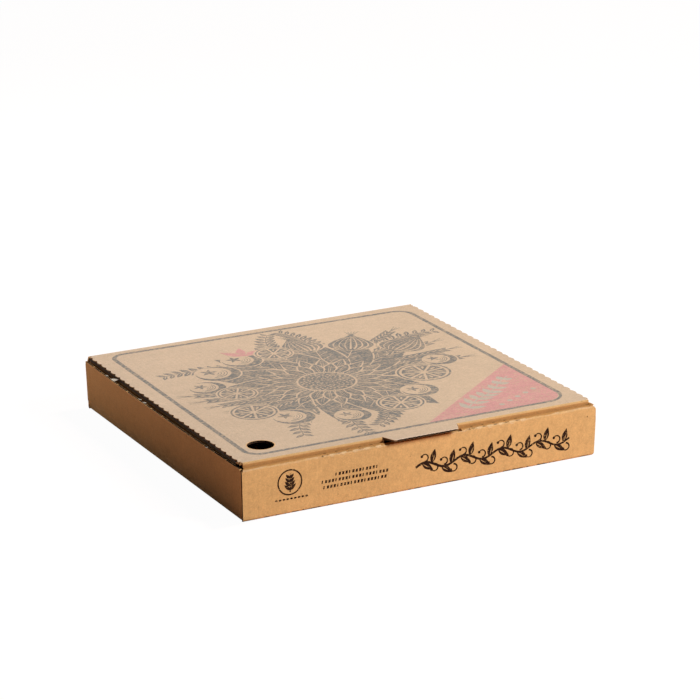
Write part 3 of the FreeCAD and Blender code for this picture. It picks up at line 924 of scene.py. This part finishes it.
def tab_side(side, label, inks):
    slant = Vector((TAB_ROOT_HALF - TAB_TIP_HALF, TAB_ROOT - TAB_TIP, 0.0))
    normal = Vector((side * slant.y, -slant.x, 0.0)).normalized()
    along = (side * slant.x, slant.y, 0.0)
    start = (side * (TAB_TIP_HALF + 0.6), TAB_TIP + 1.6, LID_TOP - BOARD)
    shapes = flute_side(slant.length - 3.0, 5)
    raw_edge(f"tab_{label}", shapes, start, along, (0, 0, 1), normal, "lid", inks)


def front_end(inks):
    """The front wall's upright left end."""
    foot, height = 3.0, 39.0
    start = (-SIDE, FRONT, foot)
    shapes = flute_side(height, 11)
    raw_edge("front_end_left", shapes, start, (0, 0, 1), (0, 1, 0), (-1, 0, 0), "tray", inks)


def flap_foot(side, label, inks):
    """The lower edge of a side flap of the lid."""
    start = (side * LID_HALF, -SIDE_FLAP_HALF, SIDE_FLAP_FOOT)
    shapes = flute_side(2 * SIDE_FLAP_HALF, 21 + side)
    raw_edge(f"flap_foot_{label}", shapes, start, (0, 1, 0), (-side, 0, 0), (0, 0, -1), "lid", inks)


def tuck_foot(inks):
    """The lower edge of the lid's tucked front flap."""
    start = (-TUCK_FLAP_HALF, TUCK_FLAP_Y, TUCK_FLAP_FOOT)
    shapes = flute_ends(2 * TUCK_FLAP_HALF)
    raw_edge("tuck_foot", shapes, start, (1, 0, 0), (0, 1, 0), (0, 0, -1), "lid", inks)


def cut_up(outline, longest):
    """The outline with points added, so that no side of it is longer than that."""
    points = []
    for a, b in zip(outline, outline[1:] + outline[:1]):
        steps = max(1, int(math.dist(a, b) / longest))
        for k in range(steps):
            points.append((a[0] + (b[0] - a[0]) * k / steps, a[1] + (b[1] - a[1]) * k / steps))
    return points


def side_edge(name, side, top, rise_back, first, inks):
    """Hollow of a side wall's top edge, along the wall's curve: its X in front, in the middle, behind."""
    front_x, middle_x, back_x = top

    def place(p, rise):
        along = p[0] + first
        t = (along - WALL_END) / WALL_END
        x = middle_x + (back_x - front_x) / 2 * t + ((back_x + front_x) / 2 - middle_x) * t * t
        z = SIDE_HEIGHT + rise_back * along / (2 * WALL_END)
        return Vector((side * (x - p[1]), along - WALL_END, z + rise))

    hollows = flute_side(2 * WALL_END - first, 3 + side, 0.12)
    shapes = [(kind, cut_up(outline, 6.0)) for kind, outline in hollows]
    printed(name, shapes, inks, place, "tray")


def vent_edge(inks):
    """The flutes' ends round the vent: small hollows down its wall."""
    shapes = []
    turns = 34
    low, high = LINER, BOARD - LINER
    for i in range(turns):
        reach = 0.34 + 0.1 * math.sin(i * 2.1)
        lower = [(i - reach, low), (i + reach, low)]
        shapes.append(("dark", [*lower, (i + reach * 0.6, high), (i - reach * 0.8, high)]))

    def place(p, rise):
        turn = p[0] * 2 * math.pi / turns
        away = VENT_RADIUS - rise
        return Vector((VENT_X + away * math.cos(turn), VENT_Y + away * math.sin(turn), LID_TOP - p[1]))

    printed("vent_edge", shapes, inks, place, "lid")


def raw_edges(inks):
    tab_tip(inks)
    for side, label in ((-1, "left"), (1, "right")):
        tab_side(side, label, inks)
        if side < 0:
            front_end(inks)
        flap_foot(side, label, inks)
    tuck_foot(inks)
    side_edge("wall_top_left", -1, LEFT_TOP, LEFT_RISE, 0.0, inks)
    side_edge("wall_top_right", 1, RIGHT_TOP, 0.0, ROLL_COVERS, inks)
    vent_edge(inks)


CUT_PITCH = 10.6
ROLL_CUTS_START = 39.0
ROLL_CUTS_END = 97.0
REAR_CUTS = FRONT + 4.1     # where the cuts of the roll's rear crease lie


def cut_places():
    """The roll's cuts: their middles in X, on both sides of the tab."""
    count = int((ROLL_CUTS_END - ROLL_CUTS_START) / CUT_PITCH)
    first = (ROLL_CUTS_START + ROLL_CUTS_END - (count - 1) * CUT_PITCH) / 2
    return [side * (first + i * CUT_PITCH) for side in SIDES for i in range(count)]


def on_front_crease(point, rise):
    """A point by the roll's front crease: X, and how far up the face and round the crease it lies."""
    turn = max(0.0, point[1]) / ROLL_RADIUS
    away = ROLL_RADIUS + rise
    y = FRONT + ROLL_RADIUS - away * math.cos(turn)
    z = FRONT_HEIGHT - ROLL_RADIUS + min(0.0, point[1]) + away * math.sin(turn)
    return Vector((point[0], y, z))


def on_rear_crease(point, rise):
    """A point by the roll's rear crease: X, and how far in front of the crease it lies."""
    return Vector((point[0], REAR_CUTS - point[1], FRONT_HEIGHT + rise))


def roll_pads(pale, dark):
    """Liner pulled up pale between the cuts in the roll's front crease, and the cuts' dark middles as
    painted shade.
    """
    draw = random.Random(7)
    pads, holes, slots = [], [], []
    for x in cut_places():
        wide, drop = draw.uniform(2.3, 3.0), draw.uniform(0.0, 0.9)
        middle = x + CUT_PITCH / 2
        left = [(middle - wide, 1.9), (middle - wide * 0.9, 0.6), (middle - wide * 0.6, -drop)]
        right = [(middle + wide * 0.6, -drop * 0.8), (middle + wide, 0.8), (middle + wide * 0.9, 2.0)]
        pads.append(left + right)
        holes.append([(x - 1.6, 0.0), (x - 0.4, -0.5), (x + 1.5, -0.1), (x + 0.6, 0.5), (x - 0.9, 0.4)])
        slots.append([(x - 2.0, 1.5), (x - 0.5, 1.0), (x + 1.9, 1.4), (x + 1.4, 2.2), (x - 1.6, 2.3)])
    solid("roll_pads", pads, 0.1, on_front_crease, pale, "tray")
    # the cuts' dark middles are painted shade
    solid("roll_slots", slots, INK_THICKNESS, on_front_crease, dark, "tray")
    solid("roll_cuts", holes, INK_THICKNESS, on_rear_crease, dark, "tray")


EDGE_UNDER = 0.35           # how far under the lid's face its edge liner begins
EDGE_LINER = 0.36
SCALLOPS = 15               # cuts of the side crease, counted from the middle to either end
SCALLOP_MIDDLE = 4.0


def lid_edges(material):
    """The upper liner along the lid's side edges, scalloped where the crease is cut."""
    for side, label in ((-1, "left"), (1, "right")):
        draw = random.Random(30 + side)
        outer = []
        for i in range(-SCALLOPS, SCALLOPS + 1):
            reach = draw.uniform(1.6, 2.1)
            for share in (-0.5, -0.36, -0.2, 0.0, 0.2, 0.36):
                along = SCALLOP_MIDDLE + (i + share) * CUT_PITCH
                bump = math.cos(math.pi * share) ** 0.7
                if TAB_ROOT < along < LID_REAR - 2.0:
                    outer.append((LID_HALF - 1.4 + reach * bump, along))
        inner = LID_HALF - 3.4
        outline = [(inner, outer[0][1]), *outer, (inner, outer[-1][1])]

        def place(point, rise):
            return Vector((side * point[0], point[1], LID_TOP - EDGE_UNDER + rise))

        solid(f"lid_edge_{label}", [outline], EDGE_LINER, place, material, "lid")


FLAKE_FOOT = -167.4         # X of the flakes' feet
FLAKE_SLOPE = 0.42


def torn_bits(material):
    """Torn flakes of liner bent in over the left wall's top edge: start, end, tip and reach of each."""
    flakes = (
        (103.8, 95.6, 94.0, 3.9),
        (114.8, 112.0, 111.4, 1.4),
        (41.2, 37.5, 36.6, 1.6),
        (31.8, 27.6, 26.4, 1.6),
        (-99.0, -101.5, -102.0, 1.4),
    )
    bits = []
    for start, end, tip, reach in flakes:
        point = [(tip - 0.3, reach * 0.4), (tip, reach), ((start + tip) / 2, reach * 0.6)]
        bits.append([(start, 0.0), (end, 0.0), *point])

    def place(p, rise):
        foot = SIDE_HEIGHT + LEFT_RISE * (p[0] + WALL_END) / (2 * WALL_END)
        return Vector((FLAKE_FOOT + p[1], p[0], foot + FLAKE_SLOPE * p[1] + rise))

    solid("torn_bits", bits, 0.25, place, material, "tray")


BULGE = {160.2: 44.35, 163.0: 45.2, 164.9: 44.1}     # the bulge's X, and how high it is there
BULGE_REAR = -159.5
BULGE_FRONT = -163.6


def roll_end(material):
    """Where the rolled wall's liner bulges over its right end: it covers the gap beside the roll."""
    slabs = []
    for start, end in zip(list(BULGE), list(BULGE)[1:]):
        rear = [(start, BULGE_REAR), (end, BULGE_REAR)]
        slabs.append([*rear, (end, BULGE_FRONT), (start, BULGE_FRONT - 0.4)])

    def place(p, rise):
        return Vector((p[0], p[1], BULGE[p[0]] + rise))

    solid("roll_end", slabs, 0.25, place, material, "tray")


def on_foot_fold(point, rise):
    """A point on the front wall's bottom fold: X, and how far down round the fold it lies."""
    turn = point[1] / FOLD_RADIUS
    away = FOLD_RADIUS + rise
    y = FRONT + FOLD_RADIUS - away * math.cos(turn)
    return Vector((point[0], y, FOLD_RADIUS - away * math.sin(turn)))


def foot_cracks(material):
    """Short dark cracks along the front wall's bottom fold: each group's start, end and count."""
    groups = ((-130, -91, 9), (-73, -64, 3), (10, 30, 2), (63, 87, 7), (107, 114, 3), (117, 121, 2))
    draw = random.Random(19)
    cracks = []
    for start, end, count in groups:
        for i in range(count):
            x = start + (end - start) * (i + draw.uniform(0.1, 0.9)) / count
            low, size, tall = draw.uniform(1.0, 1.9), draw.uniform(0.6, 1.7), draw.uniform(0.3, 0.7)
            upper = [(x - size, low), (x - size * 0.2, low + tall)]
            cracks.append([*upper, (x + size, low + 0.1), (x + size * 0.3, low - tall)])
    solid("foot_cracks", cracks, INK_THICKNESS, on_foot_fold, material, "tray")


FOLD_HALF = 161.2
FOLD_REACH = 5.0            # how far the skin over the hinge fold runs on either side
SKIN = 0.07                 # how far it stands off the board


def hinge_skin(material):
    """A strip of liner that runs round the hinge fold."""
    half = BOARD / 2
    quarter = math.pi / 2
    foot, front = HINGE_Z - FOLD_REACH, LID_REAR - FOLD_REACH
    outer = arc(HINGE_Y, HINGE_Z, half + SKIN, 0.0, quarter, 8)
    inner = arc(HINGE_Y, HINGE_Z, half, quarter, 0.0, 8)
    path = [(BACK + SKIN, foot), *outer, (front, LID_TOP + SKIN), (front, LID_TOP), *inner, (BACK, foot)]
    mesh = bmesh.new()
    columns = 40
    rings = []
    for i in range(columns + 1):
        x = FOLD_HALF * (2 * i / columns - 1)
        rings.append([mesh.verts.new(Vector((x, y, z)) * MM) for y, z in path])
    for low, high in zip(rings, rings[1:]):
        for i in range(len(path)):
            j = (i + 1) % len(path)
            mesh.faces.new([low[i], low[j], high[j], high[i]])
    mesh.faces.new(rings[0][::-1])
    mesh.faces.new(rings[-1])
    bmesh.ops.recalc_face_normals(mesh, faces=mesh.faces)
    piece = new_piece("hinge_outside", mesh, material, None)
    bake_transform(piece)


# Stage

def camera():
    yaw, pitch, roll = CAMERA_YAW, CAMERA_PITCH, CAMERA_ROLL
    away = Vector((math.sin(yaw) * math.cos(pitch), -math.cos(yaw) * math.cos(pitch), math.sin(pitch)))
    level = Vector((math.cos(yaw), math.sin(yaw), 0.0))
    upright = away.cross(level)
    right = level * math.cos(roll) + upright * math.sin(roll)
    up = upright * math.cos(roll) - level * math.sin(roll)
    data = bpy.data.cameras.new("camera")
    data.lens = FOCAL_LENGTH
    data.sensor_width = SENSOR
    made = bpy.data.objects.new("camera", data)
    made.location = (right * CAMERA_ASIDE + up * CAMERA_ABOVE + away * CAMERA_AWAY) * MM
    made.rotation_mode = "QUATERNION"
    made.rotation_quaternion = Matrix((right, up, away)).transposed().to_quaternion()
    bpy.context.scene.collection.objects.link(made)
    bpy.context.scene.camera = made


FILL = (1.0, 0.70, 0.60)
FILL_STRENGTH = 0.015
WHITE = (1.0, 1.0, 1.0)


def world():
    """White where it is seen, and a weak warm fill otherwise."""
    graph = Graph(bpy.data.worlds.new("world"))
    fill = graph.node("Background", {0: opaque(FILL), 1: FILL_STRENGTH})
    white = graph.node("Background", {0: opaque(WHITE)})
    both = graph.node("MixShader", {0: graph.seen_directly(), 1: fill.outputs[0], 2: white.outputs[0]})
    graph.node("OutputWorld", {0: both.outputs[0]})
    bpy.context.scene.world = graph.owner


FLOOR_HALF = 6.0            # in metres
FLOOR_DROP = 0.0003
FLOOR_GLOW = 1.08           # strength of the floor's white, where it is seen
GLOW_SHARE = 0.9


def floor():
    """A floor that looks white and keeps a faint shadow. It throws warm light back on the box, but
    beside the left wall its matt colour is painted dark as a shadow, so less comes back there."""
    data = bpy.data.meshes.new("floor")
    low, high = -FLOOR_HALF, FLOOR_HALF
    data.from_pydata([(low, low, 0), (high, low, 0), (high, high, 0), (low, high, 0)], [], [(0, 1, 2, 3)])
    made = bpy.data.objects.new("floor", data)
    made.location.z = -FLOOR_DROP
    bpy.context.scene.collection.objects.link(made)
    graph = Graph(bpy.data.materials.new("floor"))
    x, y, _ = graph.node("SeparateXYZ", {0: graph.place()}).outputs[:3]
    # painted shadow: the floor's matt colour is darkened beside the left wall
    beside = graph.all_of(
        graph.within(x, -SIDE - 25.0, -SIDE + 5.0, 14.0),
        graph.within(y, FRONT, BACK, 8.0),
    )
    matt = graph.node("BsdfDiffuse", {"Color": graph.mix(beside, FLOOR_TONE, FLOOR_SHADE_BESIDE)})
    glow = graph.node("Emission", {"Strength": FLOOR_GLOW})
    share = graph.math("MULTIPLY", graph.seen_directly(), GLOW_SHARE)
    mixed = graph.node("MixShader", {0: share, 1: matt.outputs[0], 2: glow.outputs[0]})
    graph.node("OutputMaterial", {0: mixed.outputs[0]})
    data.materials.append(graph.owner)
    made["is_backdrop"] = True


def lamp(name, direction, distance, size, power, colour, aim=(0.0, 0.0, 0.0), spread=math.pi):
    """A square lamp that faces the aim point from that direction, in metres."""
    data = bpy.data.lights.new(name, "AREA")
    data.size = size
    data.energy = power
    data.color = colour
    data.spread = spread
    made = bpy.data.objects.new(name, data)
    away = Vector(direction).normalized()
    made.location = Vector(aim) + away * distance
    made.rotation_mode = "QUATERNION"
    made.rotation_quaternion = away.to_track_quat("Z", "Y")
    bpy.context.scene.collection.objects.link(made)


def lights():
    """A key from the front right, one from behind, and a weak narrow one on the left wall's back end."""
    lamp("key", (0.62, -0.56, 0.55), distance=3.0, size=0.8, power=116.0, colour=(0.96, 1.0, 1.0))
    lamp("back", (0.05, 0.75, 0.62), distance=1.3, size=0.5, power=7.6, colour=(0.95, 0.98, 1.0))
    back_end, spread = (-0.167, 0.165, 0.04), math.radians(36.0)
    lamp("side", (-0.78, 0.52, 0.20), 0.6, 0.08, 0.022, (1.0, 0.86, 0.76), back_end, spread)


def dress(node, material):
    for place in frame["nodes"][node].material_slots:
        place.material = material


camera()
world()
floor()
lights()
tray_material = tray_board()
lid_material = lid_board()
dress("tray", tray_material)
dress("lid", lid_material)
lid_print({
    "grey": ink("grey_ink", GREY_INK, SHEEN_KRAFT, 0.56),
    "pink": ink("pink_ink", PINK_INK, SHEEN_KRAFT, 0.60, 0.10),
    "pale": ink("pale_ink", PALE_INK, SHEEN_KRAFT, 0.56),
})
front_print({"dark": ink("dark_ink", DARK_INK, KRAFT, 0.68)})
# near-black painted shade for the open flutes, cuts and cracks
dark_edge = hollow()
raw_edges({"dark": dark_edge})
torn_bits(plain_board("torn_liner", TORN_AND_HIGHLIGHT))
foot_cracks(dark_edge)
roll_end(tray_material)
roll_pads(plain_board("pulled_liner", PULLED), dark_edge)
lid_edges(lid_material)
hinge_skin(lid_material)

bpy.context.scene.view_settings.view_transform = "Standard"

[[list(corner) for corner in box] for box in (cad_box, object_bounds())]
